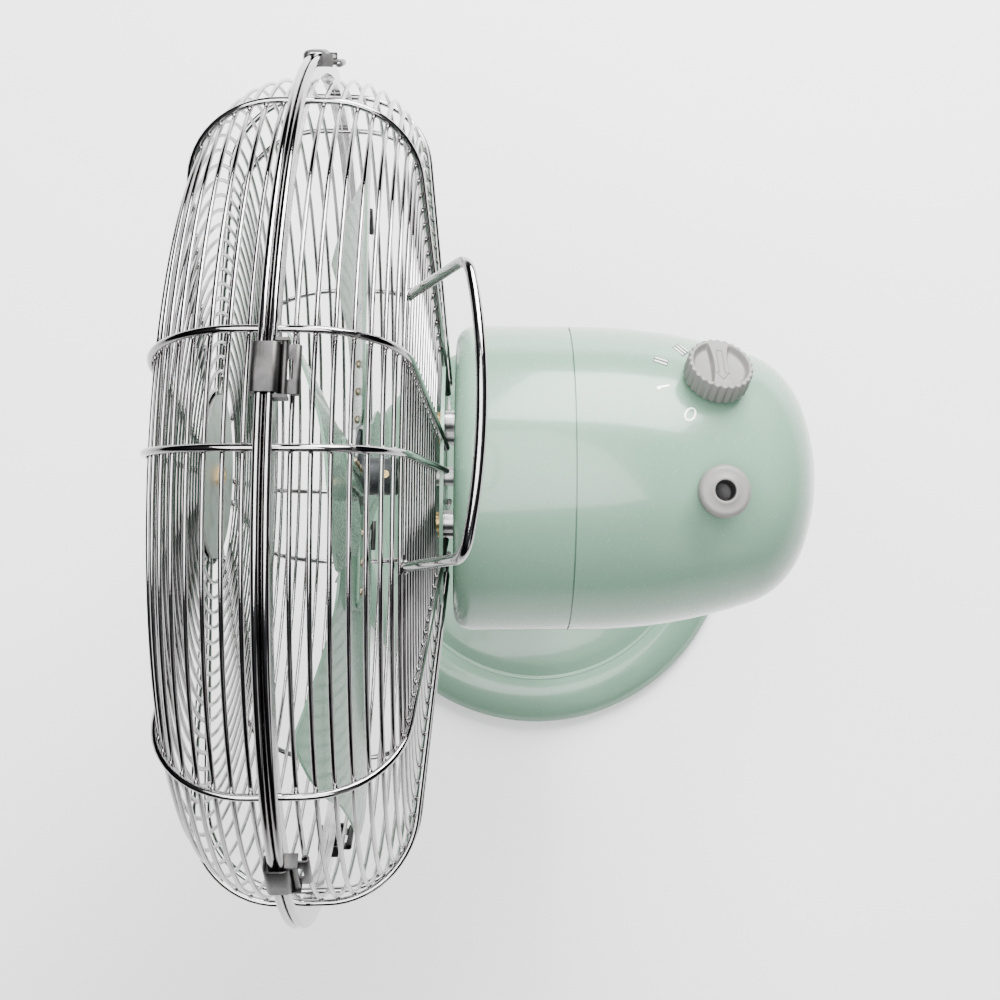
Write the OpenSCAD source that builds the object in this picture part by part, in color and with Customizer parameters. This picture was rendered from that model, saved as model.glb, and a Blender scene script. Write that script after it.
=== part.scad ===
// Oscillating desk fan: four blades in a wire guard, motor housing, tilting neck, round base.
// The fan blows towards -Y. The origin is the centre of the base's underside, +Z is up.

/* [Overall] */
// Height of the motor shaft above the table
axis_h = 290; // [275:1:350]
// Outer radius of the guard's two rims
rim_r = 175; // [158:1:212]
// Distance from the plane between the rims back to the swing axis
rim_to_pivot = 104; // [102:1:125]
// Radius of the round base
base_r = 120; // [108:1:150]

/* [Base] */
// Width of the rounded outer band of the base
band_w = 28; // [22:1:34]
// Height of the top of the outer band
band_h = 16.5; // [14:0.5:20]
// Height of the base's straight edge
edge_h = 7; // [5:0.5:9]
// Thickness of the base's pressed shell
base_wall = 1.6; // [1:0.1:2.5]
// Height of the shell where the column stands
boss_h = 38; // [32:1:46]
// Thickness of the soft pad under the base
pad_t = 2; // [1:0.5:3]
// Thickness of the bottom plate
plate_t = 1.5; // [1:0.1:2.5]
// Thickness of the iron weight ring
weight_t = 7; // [4:0.5:8]
// Radius of the column
column_r = 13; // [11:0.5:16]

/* [Neck] */
// Distance from the motor shaft down to the tilt pin
tilt_drop = 102; // [98:1:115]
// Radius of the tilt knuckle's barrel
knuckle_r = 12; // [10:0.5:14]
// Width of the tilt knuckle's barrel
knuckle_w = 22; // [18:1:26]
// Thickness of each ear of the column's fork
ear_t = 6; // [4:0.5:8]
// Radius of the tilt pin
tilt_pin_r = 4; // [3:0.5:5]
// Radius of the vertical spindle that the head swings on
spindle_r = 6; // [5:0.5:7]

/* [Housing] */
// Outer radius of the motor housing
housing_r = 64; // [62:0.5:77]
// How far the housing's front face lies in front of the swing axis
housing_front = 49; // [47:0.5:52]
// How far the joint between the housing's halves lies in front of the swing axis
seam_front = 2; // [1:0.5:4]
// Thickness of the housing's wall
housing_wall = 1.5; // [1:0.1:2]
// Rounding of the housing's front edge
front_round = 8; // [6:0.5:10]

/* [Motor] */
// Radius of the motor shaft
shaft_r = 4; // [3:0.5:5]
// Outer radius of the stator
stator_r = 41; // [36:0.5:42]
// Radius of the rotor
rotor_r = 22; // [18:0.5:24]
// Length of the stator stack
stator_len = 26; // [20:1:28]
// Distance from the swing axis back to the gear wheel's axis
wheel_y = 54; // [50:1:58]
// Distance from the motor shaft sideways to the gear wheel's axis
wheel_x = 12.5; // [11:0.5:14]
// Radius of the worm
worm_r = 4.6; // [4:0.1:5]

/* [Swing linkage] */
// Distance from the crank's axis to its pin
crank_throw = 9; // [7:0.5:10]
// Distance from the swing axis to the fixed arm's pin
arm_len = 14; // [12:0.5:16]
// Radius of the linkage's pins
link_pin_r = 2; // [1.5:0.1:2.5]
// Play at the linkage's slotted eye
eye_play = 2; // [1.8:0.1:2.6]

/* [Blades] */
// Radius of the blade tips
blade_r = 150; // [120:1:151]
// Width of a blade
blade_w = 88; // [74:1:106]
// Pitch angle of the blades
blade_pitch = 14; // [11:1:18]
// Thickness of a blade's sheet
blade_t = 1; // [0.8:0.1:1.5]
// Radius of the blades' hub
hub_r = 8; // [7:0.5:11]

/* [Guard] */
// Thickness of each rim along the shaft
rim_t = 2.8; // [2:0.1:3.5]
// Width of each rim across the wire circle
rim_w = 8; // [6.5:0.5:10]
// Diameter of the ring wires
ring_wire = 1.7; // [1.4:0.1:2]
// Diameter of the rib wires
rib_wire = 2.5; // [2:0.1:3]
// Distance between neighbouring ring wires
ring_pitch = 6.1; // [5.8:0.1:8]
// Length of the front guard's straight side
front_side = 8; // [6:0.5:10]
// Bend radius of the front guard's corner
front_bend = 33.5; // [30:0.5:36]
// How far the front guard's face bulges
front_dome = 2.5; // [1:0.5:4]
// Length of the rear guard's straight side
rear_side = 9.5; // [8:0.5:11.5]
// Bend radius of the rear guard's corner
rear_bend = 31; // [28:0.5:32]
// How far the rear guard's face bulges
rear_dome = 8; // [6:0.5:9]
// Angle between the two ribs of each close pair
pair_angle = 12.9; // [11:0.1:16]
// Radius of the front badge
badge_r = 37; // [32:1:42]
// Angle of the first rim clip
clip_turn = 4.8; // [0:0.1:6]

/* [Handle] */
// Diameter of the carrying handle's wire
handle_wire = 3.4; // [3:0.1:4]
// Width of the carrying handle
handle_w = 94; // [84:1:110]
// Height of the handle's grip above the motor shaft
handle_h = 191; // [186:1:232]

/* [Knobs] */
// Radius of the speed knob
speed_knob_r = 13.3; // [12:0.1:14.5]
// Height of the speed knob
speed_knob_h = 12; // [10:0.5:14]
// Radius of the swing knob
swing_knob_r = 10.2; // [9:0.1:11.5]
// Travel of the swing knob
swing_travel = 4; // [3:0.5:5]

/* [Fits] */
// Gap of a running fit between a pin and its bore
run_gap = 0.05; // [0.02:0.01:0.1]
// Gap between neighbouring pieces that move past each other
move_gap = 0.4; // [0.3:0.1:0.8]
// Depth by which welded wires sink into each other
weld = 0.25; // [0.15:0.05:0.4]

/* [Hidden] */
$fn = 96;
blade_count = 4;

sage = "#a9c4b0";
chrome = "#c9ccd0";
steel = "#9a9ea3";
plastic = "#c6c6c2";

// Points of an arc about [cx, cy], as [x, y] pairs
function arc(cx, cy, r, from, to, steps) =
  [for (i = [0:steps]) let (t = from + (to - from) * i / steps) [cx + r * cos(t), cy + r * sin(t)]];

// Puts a shape that is drawn around Z onto the motor shaft, with its Z along +Y from the given Y
module on_shaft(y) { translate([0, y, axis_h]) rotate([-90, 0, 0]) children(); }
// Turns a shape about the motor shaft, from the top towards -X
module turned(angle) { translate([0, 0, axis_h]) rotate([0, -angle, 0]) children(); }
// A round bar between two heights
module post(r, low, high) { translate([0, 0, low]) cylinder(r = r, h = high - low); }

function unit(v) = v / norm(v);
// A tube of flat sides that follows a path; the path never runs along the given normal
module swept_wire(path, r, sides, normal) {
  last = len(path) - 1;
  rings = [for (i = [0:last])
    let (t = unit(path[min(i + 1, last)] - path[max(i - 1, 0)]), m = unit(cross(t, normal)), n = cross(m, t))
    for (k = [0:sides - 1]) path[i] + r * (cos(k * 360 / sides) * m + sin(k * 360 / sides) * n)];
  polyhedron(rings, concat(
    [[for (k = [0:sides - 1]) k]],
    [for (i = [0:last - 1], k = [0:sides - 1]) let (a = i * sides, j = (k + 1) % sides)
      [a + k, a + sides + k, a + sides + j, a + j]],
    [[for (k = [sides - 1:-1:0]) last * sides + k]]));
}

// ---- base -------------------------------------------------------------------------------------

band_r = base_r - band_w + 8;
band_arc = (pow(base_r - band_r, 2) + pow(band_h - edge_h, 2)) / (2 * (band_h - edge_h));
band_from = acos((base_r - band_r) / band_arc);
step_r = base_r - band_w - 2;
edge_low = 1;
column_foot_r = column_r + 3;

module base_pad() {
  color("#2b2b2b") post(base_r - 6, 0, pad_t);
}

module base_plate() {
  color(steel) difference() {
    post(base_r - base_wall - move_gap, pad_t, pad_t + plate_t);
    post(column_r - 3, -1, pad_t + plate_t + 1);
  }
}

module base_weight() {
  floor_z = pad_t + plate_t;
  color("#55585c") difference() {
    post(step_r - 4, floor_z, floor_z + weight_t);
    post(column_r + 12, floor_z - 1, floor_z + weight_t + 1);
  }
}

// Outline of the pressed shell, offset inwards by a wall
function shell_outline(off) = concat(
  [[base_r - off, edge_low]],
  arc(band_r, band_h - band_arc, band_arc - off, band_from, 90, 10),
  arc(step_r + 4, band_h - 3 - off, 2.4, 60, 120, 4),
  [[step_r - 2, band_h + 1 - off], [step_r - 5, band_h + 2 - off], [column_r + 22, boss_h - 13 - off]],
  arc(column_foot_r + 17 , boss_h + 4 - off, 17, 262, 180, 8));

module base_shell() {
  outer = shell_outline(0);
  inner = shell_outline(base_wall);
  color(sage) difference() {
    rotate_extrude() polygon(concat([[column_r, edge_low]], outer, [[column_r, outer[len(outer) - 1][1]]]));
    rotate_extrude() polygon(concat([[0, edge_low - 1], [base_r - base_wall, edge_low - 1]], inner,
      [[0, inner[len(inner) - 1][1]]]));
    inlet_at() cylinder(r = inlet_r, h = 30, center = true);
  }
}

inlet_r = 3.2;
inlet_h = 7.2;
module inlet_at() { translate([0, base_r - 1, inlet_h]) rotate([-90, 0, 0]) children(); }

module cord_inlet() {
  color("#3a3a3a") inlet_at() difference() {
    union() {
      translate([0, 0, -base_wall - 3.6]) cylinder(r = inlet_r, h = base_wall + 6.4);
      translate([0, 0, 1]) cylinder(r = inlet_r + 1.4, h = 1.8);
    }
    cylinder(r = 2.2, h = 40, center = true);
  }
}

tilt_h = axis_h - tilt_drop;
fork_in = knuckle_w / 2 + move_gap;
fork_out = fork_in + ear_t;
fork_floor = tilt_h - knuckle_r - 1;
fork_base = fork_floor - 9;
column_low = pad_t + plate_t;

module column() {
  color(sage) difference() {
    union() {
      post(column_r, column_low, fork_base);
      translate([0, 0, fork_base - 4]) cylinder(r = fork_out, h = fork_floor - fork_base + 4);
      for (side = [-1, 1]) {
        translate([side * (fork_in + fork_out) / 2, 0, (fork_floor + tilt_h) / 2 - 1])
          cube([ear_t, 2 * knuckle_r, tilt_h - fork_floor + 2], center = true);
        translate([side * (fork_in + fork_out) / 2, 0, tilt_h])
          rotate([0, 90, 0]) cylinder(r = knuckle_r, h = ear_t, center = true);
      }
    }
    post(column_r - 3, column_low - 1, fork_base - 8);
    translate([0, 0, tilt_h]) rotate([0, 90, 0]) cylinder(r = tilt_pin_r + run_gap, h = 4 * fork_out, center = true);
  }
}

module column_nut() {
  color(steel) translate([0, 0, column_low]) difference() {
    cylinder(r = column_r + 9, h = 8, $fn = 6);
    translate([0, 0, -1]) cylinder(r = column_r, h = 12);
  }
}

module tilt_bolt() {
  color(steel) translate([0, 0, tilt_h]) rotate([0, 90, 0]) {
    translate([0, 0, -fork_out - 5]) cylinder(r = tilt_pin_r, h = 2 * fork_out + 19);
    translate([0, 0, -fork_out - 5]) cylinder(r = tilt_pin_r + 4, h = 5);
  }
}

// Thumb nut with a scalloped edge
module tilt_nut() {
  color(plastic) translate([fork_out, 0, tilt_h]) rotate([0, 90, 0]) difference() {
    union() {
      cylinder(r = 8, h = 4);
      translate([0, 0, 4]) cylinder(r = 12, h = 8);
    }
    for (a = [0:45:315]) rotate(a) translate([13.2, 0, -1]) cylinder(r = 3, h = 20);
    translate([0, 0, -1]) cylinder(r = tilt_pin_r, h = 14.2);
  }
}

// ---- neck: tilts on the column, and carries the spindle ---------------------------------------

socket_low = axis_h - 76;
arm_low = axis_h - 51.5;
arm_t = 2.6;

module tilt_knuckle() {
  color(sage) difference() {
    union() {
      translate([0, 0, tilt_h]) rotate([0, 90, 0]) cylinder(r = knuckle_r, h = knuckle_w, center = true);
      post(knuckle_r - 2, tilt_h, socket_low - 4);
      post(knuckle_r + 4, socket_low - 5, socket_low - move_gap);
      post(spindle_r, socket_low - 6, arm_low);
    }
    translate([0, 0, tilt_h]) rotate([0, 90, 0]) cylinder(r = tilt_pin_r + run_gap, h = 4 * knuckle_w, center = true);
  }
}

module swing_arm() {
  color(steel) {
    difference() {
      union() {
        post(spindle_r + 2, arm_low, arm_low + arm_t);
        translate([-arm_len / 2, 0, arm_low + arm_t / 2]) cube([arm_len, 8, arm_t], center = true);
        translate([-arm_len, 0, arm_low]) cylinder(r = 4, h = arm_t);
      }
      translate([-arm_len, 0, arm_low - 1]) cylinder(r = link_pin_r, h = 10);
    }
    translate([-arm_len, 0, arm_low]) cylinder(r = link_pin_r, h = arm_t + 4.6);
  }
}

// ---- head: motor, housing and gear case -------------------------------------------------------

bracket_low = axis_h - 57;
bracket_t = 2.5;
bell_t = 5;
bell_front = -housing_front + 7;
stator_y = bell_front + bell_t + 4;
bell_back = stator_y + stator_len + 4;
lug_h = 21;

module motor_bracket() {
  color("#8d9296") difference() {
    union() {
      post(spindle_r + 8, socket_low, bracket_low + 1);
      translate([-22, bell_front + bell_t, bracket_low])
        cube([44, bell_back + 8 - bell_front - bell_t, bracket_t]);
      for (side = [-1, 1]) translate([side * 18 - 4, bell_front + bell_t, bracket_low]) cube([8, 3, lug_h]);
    }
    post(spindle_r + run_gap, socket_low - 1, bracket_low + bracket_t + 1);
  }
}

// Outline of the front cup, offset inwards by a wall: [radius, distance from the front face]
function cup_outline(off) = arc(housing_r - front_round, front_round, front_round - off, 270, 360, 8);
front_hole_r = 20;
cup_len = housing_front - seam_front - 0.3;

module front_housing() {
  color(sage) difference() {
    on_shaft(-housing_front) rotate_extrude() polygon(concat(
      [[front_hole_r, 0]], cup_outline(0), [[housing_r, cup_len], [housing_r - housing_wall, cup_len]],
      [for (i = [8:-1:0]) cup_outline(housing_wall)[i]], [[front_hole_r, housing_wall]]));
    post(spindle_r + 8 + move_gap, socket_low - 1, axis_h - 20);
    for (a = [45:90:315]) turned(a) translate([0, -housing_front, screw_ring_r])
      rotate([90, 0, 0]) cylinder(r = 2.1, h = 8, center = true);
  }
}

// Arcs of the rear dome: a long shallow arc, a corner and an end cap
dome_start = 6;
dome_r1 = 232;
dome_r2 = 34;
dome_r3 = 84;
dome_a1 = 17.3;
dome_c1 = [housing_r - dome_r1, dome_start];
dome_c2 = [dome_c1[0] + (dome_r1 - dome_r2) * cos(dome_a1), dome_c1[1] + (dome_r1 - dome_r2) * sin(dome_a1)];
dome_a3 = acos(dome_c2[0] / (dome_r3 - dome_r2));
dome_c3 = [0, dome_c2[1] - (dome_r3 - dome_r2) * sin(dome_a3)];

function dome_outline(off) = concat(
  arc(dome_c1[0], dome_c1[1], dome_r1 - off, 0, dome_a1, 8),
  arc(dome_c2[0], dome_c2[1], dome_r2 - off, dome_a1 + 3, dome_a3, 14),
  arc(dome_c3[0], dome_c3[1], dome_r3 - off, dome_a3 + 3, 90, 8));

// Outer radius of the dome at a distance behind the swing axis, on its shallow arc
function dome_radius(y) = dome_c1[0] + sqrt(pow(dome_r1, 2) - pow(y - dome_start, 2));

vent_y = 62;
module rear_housing() {
  start = -seam_front + 0.3;
  outer = dome_outline(0);
  inner = dome_outline(housing_wall);
  color(sage) difference() {
    on_shaft(0) rotate_extrude() polygon(concat([[housing_r, start]], outer,
      [for (i = [len(inner) - 1:-1:0]) inner[i]], [[housing_r - housing_wall, start]]));
    post(spindle_r + 8 + move_gap, socket_low - 1, axis_h - 20);
    translate([wheel_x, wheel_y, axis_h + 30]) cylinder(r = swing_stem_r + move_gap, h = 60);
    at_speed_knob() cylinder(r = speed_stem_r + move_gap, h = 30, center = true);
    for (row = [-3:3]) translate([row * 7 - 1.5, vent_y, axis_h - housing_r]) cube([3, 24, 30]);
  }
}

module seam_band() {
  r = housing_r - housing_wall;
  color("#7f9488") difference() {
    on_shaft(-seam_front - 6) cylinder(r = r, h = 11);
    on_shaft(-seam_front - 7) cylinder(r = r - 1.2, h = 13);
    post(spindle_r + 8 + move_gap, socket_low - 1, axis_h - 20);
  }
}

module bell(y, back) {
  color("#8d9296") difference() {
    union() {
      on_shaft(y) cylinder(r = stator_r + 1, h = bell_t);
      on_shaft(y + (back ? bell_t : -5)) cylinder(r = bush_r + (back ? 1.6 : 4.5), h = 5);
      if (!back) for (a = [45:90:315]) turned(a) translate([0, y + 1, screw_ring_r])
        rotate([90, 0, 0]) cylinder(r = 4, h = housing_front + y - housing_wall + 1);
    }
    on_shaft(y - 10) cylinder(r = bush_r, h = 30);
    for (a = [0:90:270]) turned(a) translate([0, y, stator_r - 12]) rotate([-90, 0, 0])
      cylinder(r = 5, h = 4 * bell_t, center = true);
  }
}

bush_r = shaft_r + 2.5;
module front_bell() { bell(bell_front, false); }
module rear_bell() { bell(bell_back, true); }

module stator_core() {
  color("#6d7176") difference() {
    on_shaft(stator_y) cylinder(r = stator_r, h = stator_len);
    on_shaft(stator_y - 1) cylinder(r = rotor_r + 0.5, h = stator_len + 2);
    for (a = [45:90:315]) turned(a) translate([0, stator_y - 1, bolt_ring_r])
      rotate([-90, 0, 0]) cylinder(r = 2, h = stator_len + 2);
    for (a = [22.5:45:360]) turned(a) translate([0, stator_y + stator_len / 2, rotor_r + 7])
      cube([8, stator_len + 2, 8], center = true);
  }
}

// Bolts that clamp the stator between the two bells
bolt_ring_r = stator_r - 4.5;
module stator_bolts() {
  color(steel) for (a = [45:90:315]) turned(a) translate([0, bell_front + bell_t, bolt_ring_r])
    rotate([-90, 0, 0]) cylinder(r = 2, h = bell_back - bell_front - bell_t);
}

module stator_coils() {
  color("#b0662f") for (a = [22.5:45:360]) turned(a)
    translate([0, stator_y + stator_len / 2, rotor_r + 7])
      cube([7.6, stator_len + 6, 7.6], center = true);
}

module shaft_bushes() {
  color("#b79a57") for (y = [bell_front - 5, bell_back]) difference() {
    on_shaft(y) cylinder(r = bush_r, h = bell_t + 5);
    on_shaft(y - 1) cylinder(r = shaft_r + run_gap, h = bell_t + 7);
  }
}

case_t = 2.5;
case_x = [-12, wheel_x + 14];
case_y = [wheel_y - 17, wheel_y + 17];
case_z = 11;
module gear_case() {
  post_y = bell_back + bell_t;
  color("#a5a9ad") difference() {
    union() {
      translate([case_x[0], case_y[0], axis_h - case_z])
        cube([case_x[1] - case_x[0], case_y[1] - case_y[0], 2 * case_z]);
      for (side = [-1, 1]) translate([side * 9, post_y, axis_h + side * 6]) rotate([-90, 0, 0])
        cylinder(r = 2.5, h = case_y[0] - post_y + 1);
    }
    translate([case_x[0] + case_t, case_y[0] + case_t, axis_h - case_z + case_t])
      cube([case_x[1] - case_x[0] - 2 * case_t, case_y[1] - case_y[0] - 2 * case_t, 2 * (case_z - case_t)]);
    on_shaft(case_y[0] - 1) cylinder(r = shaft_r + run_gap, h = case_t + 2);
    translate([wheel_x, wheel_y, axis_h - 30]) cylinder(r = crank_shaft_r + run_gap, h = 60);
  }
}

module run_capacitor() {
  color("#d8d8d0") translate([-33, bell_back + bell_t, axis_h - 20]) cube([17, 34, 13]);
}

screw_ring_r = 29;
// ---- guards -----------------------------------------------------------------------------------

wire_r = ring_wire / 2;
wire_sides = 8;
rib_r = rib_wire / 2;
ring_r = rim_r - rim_w - rib_wire - wire_r + weld + 0.4;
rib_off = wire_r + rib_r - weld;
rim_y = -rim_to_pivot;
rim_half = 0.15 + rim_t;
plate_r = 55;
plate_y = rim_y + rear_side + rear_bend + rear_dome + 1.2;

// Angle by which a guard's face leans, from its bulge over its width
function face_lean(bend, dome, inner_r) = atan(dome / (ring_r - bend - inner_r));

// Point on a guard's wire path at a length along it, as [distance from the rim plane, radius]
function path_at(s, side, bend, lean) =
  let (a = side - rim_half, b = bend * (90 - lean) * PI / 180)
  s < a ? [rim_half + s, ring_r]
  : s < a + b ? let (t = (s - a) / bend * 180 / PI) [side + bend * sin(t), ring_r - bend + bend * cos(t)]
  : let (u = s - a - b) [side + bend * cos(lean) + u * sin(lean), ring_r - bend + bend * sin(lean) - u * cos(lean)];

first_ring = 4.2;
module wire_rings(dir, side, bend, dome, inner_r) {
  lean = face_lean(bend, dome, inner_r);
  last = floor((side + bend * PI / 2 + ring_r - bend - inner_r) / ring_pitch);
  for (k = [0:last]) {
    p = path_at(first_ring + k * ring_pitch, side, bend, lean);
    if (p[1] > inner_r + 2) on_shaft(rim_y + dir * p[0]) rotate_extrude() translate([p[1], 0])
      circle(r = wire_r, $fn = wire_sides);
  }
}

rib_sides = 10;
// Path of one rib above the shaft, as [0, distance from the rim plane, radius]: side, bend and face
function rib_path(dir, side, bend, dome, inner_r, reach) =
  let (lean = face_lean(bend, dome, inner_r), out = bend + rib_off,
    curve = arc(side, ring_r - bend, out, 90, lean, 11), last = curve[len(curve) - 1],
    run = last[1] - reach)
  [for (p = concat([[0.15, ring_r + rib_off]], curve, [[last[0] + run * tan(lean), reach]])) [0, dir * p[0], p[1]]];

// Twelve ribs in four groups of three, with a close pair where two groups meet; one rib is a little off
rib_step = (90 - pair_angle) / 2;
rib_turn = clip_turn - 1.35;
rib_shift = 2.2;
rib_angles = [for (q = [0:3], k = [0:2])
  rib_turn + q * 90 + pair_angle / 2 + k * rib_step - (q == 3 && k == 1 ? rib_shift : 0)];

module guard_ribs(dir, side, bend, dome, inner_r, reach) {
  for (a = rib_angles) turned(a) translate([0, rim_y, 0])
    swept_wire(rib_path(dir, side, bend, dome, inner_r, reach), rib_r, rib_sides, [-dir, 0, 0]);
}

module guard_rim(dir) {
  edge = rim_t / 2;
  on_shaft(rim_y + dir * (0.15 + edge)) rotate_extrude() {
    translate([rim_r - rim_w, -edge]) square([rim_w - edge, rim_t]);
    translate([rim_r - edge, 0]) circle(r = edge);
  }
}

module rear_rings() { color(chrome) wire_rings(1, rear_side, rear_bend, rear_dome, plate_r); }
module rear_ribs() { color(chrome) guard_ribs(1, rear_side, rear_bend, rear_dome, plate_r, plate_r - 14); }
module rear_rim() { color(chrome) guard_rim(1); }
module front_rings() { color(chrome) wire_rings(-1, front_side, front_bend, front_dome, badge_r); }
module front_ribs() { color(chrome) guard_ribs(-1, front_side, front_bend, front_dome, badge_r, badge_r - 9); }
module front_rim() { color(chrome) guard_rim(-1); }

// Pressed plate that the rear ribs are welded to
module guard_plate() {
  color(sage) difference() {
    on_shaft(plate_y) cylinder(r = plate_r, h = 1.4);
    on_shaft(plate_y - 1) cylinder(r = 16, h = 4);
    for (a = [45:90:315]) turned(a) translate([0, plate_y, screw_ring_r])
      rotate([90, 0, 0]) cylinder(r = 2.1, h = 8, center = true);
  }
}

module guard_spacers() {
  color(steel) for (a = [45:90:315]) difference() {
    turned(a) translate([0, plate_y + 1.4, screw_ring_r]) rotate([-90, 0, 0])
      cylinder(r = 4.5, h = -housing_front - plate_y - 1.4);
    turned(a) translate([0, plate_y, screw_ring_r]) rotate([-90, 0, 0]) cylinder(r = 2.1, h = 20);
  }
}

module guard_screws() {
  color("#b79a57") for (a = [45:90:315]) turned(a) translate([0, plate_y, screw_ring_r]) rotate([-90, 0, 0]) {
    cylinder(r = 2, h = -housing_front - plate_y + 4);
    translate([0, 0, -2.2]) difference() {
      cylinder(r = 3.8, h = 2.2);
      translate([0, 0, 0]) cube([8, 0.9, 1.6], center = true);
    }
  }
}

badge_lean = face_lean(front_bend, front_dome, badge_r);
badge_rib_y = rim_y - front_side - (front_bend + rib_off) * cos(badge_lean)
  - (ring_r - front_bend - badge_r) * tan(badge_lean);
badge_y = badge_rib_y - rib_r - 2.2;
badge_back_y = badge_rib_y + rib_r - weld;
module front_badge() {
  color(chrome) difference() {
    on_shaft(badge_y) rotate_extrude() polygon(concat([[0, 0]], arc(badge_r - 3, 3, 3, 270, 360, 6),
      [[badge_r, 4.2], [badge_r - 1.5, 4.2], [badge_r - 1.5, 2.8], [badge_r - 3.2, 1.5], [0, 1.5]]));
    on_shaft(badge_y - 1) cylinder(r = 2, h = 12);
  }
}

module badge_back() {
  color(steel) difference() {
    on_shaft(badge_back_y) cylinder(r = badge_r - 3, h = 1.2);
    on_shaft(badge_back_y - 1) cylinder(r = 2, h = 4);
  }
}

module badge_screw() {
  back = badge_back_y + 1.2 - badge_y;
  color("#c8a24a") on_shaft(badge_y) {
    difference() {
      union() {
        cylinder(r = 2, h = back + 3);
        translate([0, 0, -1.6]) cylinder(r = 4, h = 1.6);
      }
      translate([0, 0, -1.6]) cube([9, 0.9, 1.4], center = true);
    }
    translate([0, 0, back]) cylinder(r = 4.5, h = 2.4, $fn = 6);
  }
}

// Wire bow for carrying: two legs welded to one ring of the rear corner, and a rounded grip above it
handle_r = handle_wire / 2;
handle_sides = 10;
handle_corner = 6;
handle_bow = 30;
handle_ring = 7;
handle_sink = 1.2;
handle_bend = (first_ring + handle_ring * ring_pitch - rear_side + rim_half) / rear_bend * 180 / PI;
handle_off = rear_bend + wire_r + handle_r - 0.2;
handle_foot_y = rear_side + handle_off * sin(handle_bend);
handle_foot_x = handle_w / 2 - handle_r;
handle_seat = sqrt(pow(ring_r - rear_bend + handle_off * cos(handle_bend), 2) - pow(handle_foot_x, 2));
grip_x = handle_foot_x - handle_corner;
grip_end = grip_x + handle_corner * sin(handle_bow);
grip_r = grip_end / sin(handle_bow);
grip_rise = handle_corner * cos(handle_bow) + grip_r * (1 - cos(handle_bow));
handle_reach = 23.2;
handle_rise = handle_h - handle_seat;
handle_lean = atan(handle_rise / handle_reach);
leg_len = handle_rise / sin(handle_lean) - grip_rise;

// Half of the bow in its own sloping plane, from the foot to the middle of the grip
handle_half = concat([[handle_foot_x, -handle_sink], [handle_foot_x, leg_len / 2]],
  arc(grip_x, leg_len, handle_corner, 0, 90 - handle_bow, 5),
  arc(0, leg_len + grip_rise - grip_r, grip_r, 90 - handle_bow + 6, 90, 4));
handle_plane = concat(handle_half, [for (i = [len(handle_half) - 2:-1:0]) [-handle_half[i][0], handle_half[i][1]]]);
handle_path = [for (p = handle_plane)
  [p[0], handle_foot_y + p[1] * cos(handle_lean), handle_seat + p[1] * sin(handle_lean)]];
handle_turn = 0.9;

module carry_handle() {
  color(chrome) turned(handle_turn) translate([0, rim_y, 0])
    swept_wire(handle_path, handle_r, handle_sides, [0, -sin(handle_lean), cos(handle_lean)]);
}

// ---- clips over the rims ----------------------------------------------------------------------

clip_w = 16;
clip_t = 0.8;
clip_count = 6;
hinge_y = rim_half + 2.6;
hinge_r = rim_r - 1.6;
clip_pin_r = 1;
clip_top = rim_r + move_gap;

// Two lugs on the rear rim with a pin between them
module clip_pins() {
  color(steel) for (i = [0:clip_count - 1]) turned(clip_turn + i * 60) {
    translate([-clip_w / 2 - 1, rim_y + hinge_y, hinge_r]) rotate([0, 90, 0])
      cylinder(r = clip_pin_r, h = clip_w + 2);
    for (side = [-1, 1]) translate([side * (clip_w / 2 + 0.9), 0, 0]) {
      translate([-0.5, rim_y + rim_half - 0.3, hinge_r - 3.4]) cube([1, hinge_y - rim_half + 1.6, 5]);
    }
  }
}

module clip(i) {
  front = -rim_half - move_gap;
  width = clip_w + 0.2 - 2 * move_gap;
  color(steel) turned(clip_turn + (i - 1) * 60) translate([-width / 2, rim_y, 0]) difference() {
    union() {
      translate([0, front - clip_t, clip_top]) cube([width, hinge_y + 6.5 - front, clip_t]);
      translate([0, front - clip_t, clip_top - 5]) cube([width, clip_t, 5 + clip_t]);
      translate([0, hinge_y, hinge_r]) rotate([0, 90, 0]) cylinder(r = clip_pin_r + 0.9, h = width);
      translate([0, hinge_y - 0.6, hinge_r + 0.9]) cube([width, 1.2, clip_top - hinge_r]);
      translate([0, hinge_y + 6, clip_top + clip_t / 2 + 0.2]) rotate([0, 90, 0]) cylinder(r = 0.9, h = width);
    }
    translate([-1, hinge_y, hinge_r]) rotate([0, 90, 0]) cylinder(r = clip_pin_r + run_gap, h = width + 2);
    translate([width / 2 - 3, hinge_y + 2, clip_top - 1]) cube([6, 2, 4]);
  }
}

// ---- rotor: turns in the bushes ---------------------------------------------------------------

hub_y = rim_y + 14;
hub_len = 17;
shaft_front = rim_y + 8;
shaft_back = wheel_y + 13;

module motor_shaft() { color(steel) on_shaft(shaft_front) cylinder(r = shaft_r, h = shaft_back - shaft_front); }

module rotor_core() {
  color("#7b7f84") difference() {
    on_shaft(stator_y) cylinder(r = rotor_r, h = stator_len);
    on_shaft(stator_y - 1) cylinder(r = shaft_r, h = stator_len + 2);
  }
}

module worm() {
  color("#b79a57") difference() {
    on_shaft(wheel_y - 9) rotate_extrude() polygon(concat([[shaft_r, 0]],
      [for (i = [0:8]) each [[worm_r - 0.4, 2 * i + 0.2], [worm_r, 2 * i + 0.8], [worm_r, 2 * i + 1.2],
        [worm_r - 0.4, 2 * i + 1.8]]], [[shaft_r, 18]]));
    on_shaft(wheel_y - 10) cylinder(r = shaft_r, h = 20);
  }
}

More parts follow.
